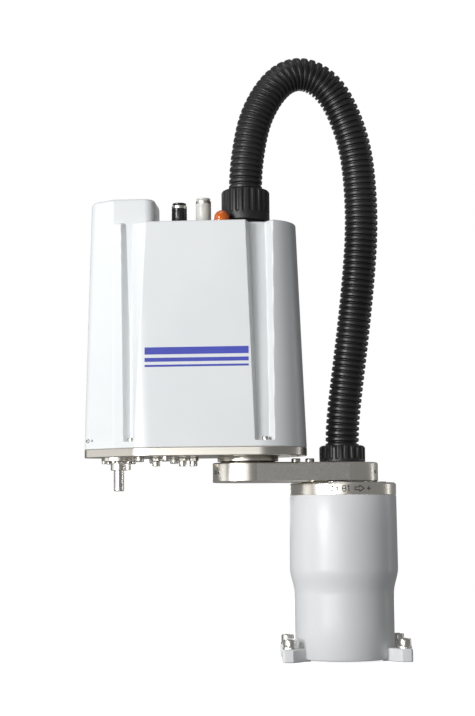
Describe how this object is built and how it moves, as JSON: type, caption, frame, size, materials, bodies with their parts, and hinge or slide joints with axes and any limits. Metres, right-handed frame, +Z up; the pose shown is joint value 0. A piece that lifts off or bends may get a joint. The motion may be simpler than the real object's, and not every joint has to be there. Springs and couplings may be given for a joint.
{
  "type": "tabletop SCARA robot arm",
  "caption": "Four-axis tabletop SCARA arm: bolted column base, short inner arm, tall covered head with a lifting and turning tool shaft, and a corrugated cable duct.",
  "frame": {"origin": "on the first axis, at the seat of the base's feet", "axes": "+Z up along the first axis, -Y towards the front of the base, +X to the right seen from the front; at rest the arm reaches towards -X"},
  "size_m": [0.249, 0.1161, 0.4819],
  "materials": {
    "painted_white": "satin white paint on cast aluminium",
    "machined": "machined and clear anodised",
    "steel": "nickel-plated steel",
    "motor_steel": "blackened steel",
    "moulded_white": "satin painted moulding",
    "black_plastic": "semi-gloss nylon",
    "duct_plastic": "semi-gloss corrugated nylon",
    "rubber": "matt rubber",
    "grey_plastic": "smooth moulded resin",
    "lamp_orange": "clear orange lens",
    "button_red": "smooth moulded"
  },
  "bodies": {
    "base": {"base_casting": "painted_white", "base_ring": "machined", "foot_bolts": "steel", "foot_washers": "steel", "stop_block": "black_plastic", "ring_screw": "steel", "rear_panel": "machined", "rear_panel_screws": "steel", "power_receptacle": "black_plastic", "signal_receptacle": "black_plastic", "user_receptacle": "steel", "base_fittings": "grey_plastic", "j1_motor": "motor_steel", "j1_circular_spline": "steel", "base_seal": "rubber"},
    "base_collet_1": {"base_collet_left": "grey_plastic"},
    "base_collet_2": {"base_collet_right": "black_plastic"},
    "j1_generator": {"j1_wave_generator": "steel"},
    "inner_arm": {"arm1_beam": "machined", "arm1_screws": "steel", "j1_flexspline": "steel", "j2_flexspline": "steel", "j2_seal": "rubber", "duct_nut_base": "black_plastic", "duct_gland_base": "black_plastic", "cable_duct": "duct_plastic"},
    "head": {"head_plate": "machined", "j2_bearing_housing": "machined", "head_cover": "moulded_white", "cover_screws": "steel", "z_frame": "machined", "z_motor": "motor_steel", "z_brake": "motor_steel", "j4_motor": "motor_steel", "j2_motor": "motor_steel", "j2_circular_spline": "steel", "spline_flange": "steel", "spline_flange_screws": "steel", "plate_screws": "steel", "stop_bolts": "steel", "duct_nut_head": "black_plastic", "duct_gland_head": "black_plastic", "fitting_black": "black_plastic", "fitting_white": "grey_plastic", "status_lamp": "lamp_orange", "button_bezel": "black_plastic", "head_connector": "steel", "z_belt": "rubber", "j4_belt": "rubber"},
    "j2_generator": {"j2_wave_generator": "steel"},
    "head_collet_1": {"collet_black": "black_plastic"},
    "head_collet_2": {"collet_white": "grey_plastic"},
    "release_button": {"brake_button": "button_red"},
    "z_drive_pulley": {"z_motor_pulley": "steel"},
    "j4_drive_pulley": {"j4_motor_pulley": "steel"},
    "rotor": {"spline_nut": "steel"},
    "screw": {"screw_nut": "steel"},
    "spindle": {"shaft": "steel", "shaft_collar": "steel"}
  },
  "joints": [
    {"name": "joint_1", "type": "hinge", "parent": "base", "child": "inner_arm", "pos_m": [0, 0, 0.135], "axis": [0, 0, 1], "range_deg": [-46, 204]},
    {"name": "joint_2", "type": "hinge", "parent": "inner_arm", "child": "head", "pos_m": [-0.07362, -0.01431, 0.15], "axis": [0, 0, 1], "range_deg": [-115, 145]},
    {"name": "joint_4", "type": "hinge", "parent": "head", "child": "rotor", "pos_m": [-0.17338, -0.00734, 0.16], "axis": [0, 0, 1], "range_deg": [-360, 360]},
    {"name": "joint_3", "type": "slide", "parent": "rotor", "child": "spindle", "axis": [0, 0, -1], "range_m": [0, 0.1]},
    {"name": "screw_nut_spin", "type": "hinge", "parent": "rotor", "child": "screw", "pos_m": [-0.17338, -0.00734, 0.2], "axis": [0, 0, 1], "continuous": true},
    {"name": "z_pulley_spin", "type": "hinge", "parent": "head", "child": "z_drive_pulley", "pos_m": [-0.10459, -0.02718, 0.22], "axis": [0, 0, 1], "continuous": true},
    {"name": "j4_pulley_spin", "type": "hinge", "parent": "head", "child": "j4_drive_pulley", "pos_m": [-0.1025, 0.00275, 0.185], "axis": [0, 0, 1], "continuous": true},
    {"name": "j1_generator_spin", "type": "hinge", "parent": "base", "child": "j1_generator", "pos_m": [0, 0, 0.11], "axis": [0, 0, 1], "continuous": true},
    {"name": "j2_generator_spin", "type": "hinge", "parent": "head", "child": "j2_generator", "pos_m": [-0.07362, -0.01431, 0.18], "axis": [0, 0, 1], "continuous": true},
    {"name": "brake_release", "type": "slide", "parent": "head", "child": "release_button", "axis": [0, 0, -1], "range_m": [0, 0.0018], "stiffness_N_per_m": 600, "springref_m": -0.002},
    {"name": "head_fitting_1", "type": "slide", "parent": "head", "child": "head_collet_1", "axis": [0, 0, -1], "range_m": [0, 0.0007], "stiffness_N_per_m": 800, "springref_m": -0.001},
    {"name": "head_fitting_2", "type": "slide", "parent": "head", "child": "head_collet_2", "axis": [0, 0, -1], "range_m": [0, 0.0007], "stiffness_N_per_m": 800, "springref_m": -0.001},
    {"name": "base_fitting_1", "type": "slide", "parent": "base", "child": "base_collet_1", "axis": [0, -1, 0], "range_m": [0, 0.0007], "stiffness_N_per_m": 800, "springref_m": -0.001},
    {"name": "base_fitting_2", "type": "slide", "parent": "base", "child": "base_collet_2", "axis": [0, -1, 0], "range_m": [0, 0.0007], "stiffness_N_per_m": 800, "springref_m": -0.001}
  ],
  "couplings": [
    {"joint": "screw_nut_spin", "follows": "joint_3", "rad_per_m": -628.32},
    {"joint": "z_pulley_spin", "follows": "joint_3", "rad_per_m": -1256.6},
    {"joint": "j4_pulley_spin", "follows": "joint_4", "ratio": 2},
    {"joint": "j1_generator_spin", "follows": "joint_1", "ratio": -50},
    {"joint": "j2_generator_spin", "follows": "joint_2", "ratio": -50}
  ]
}
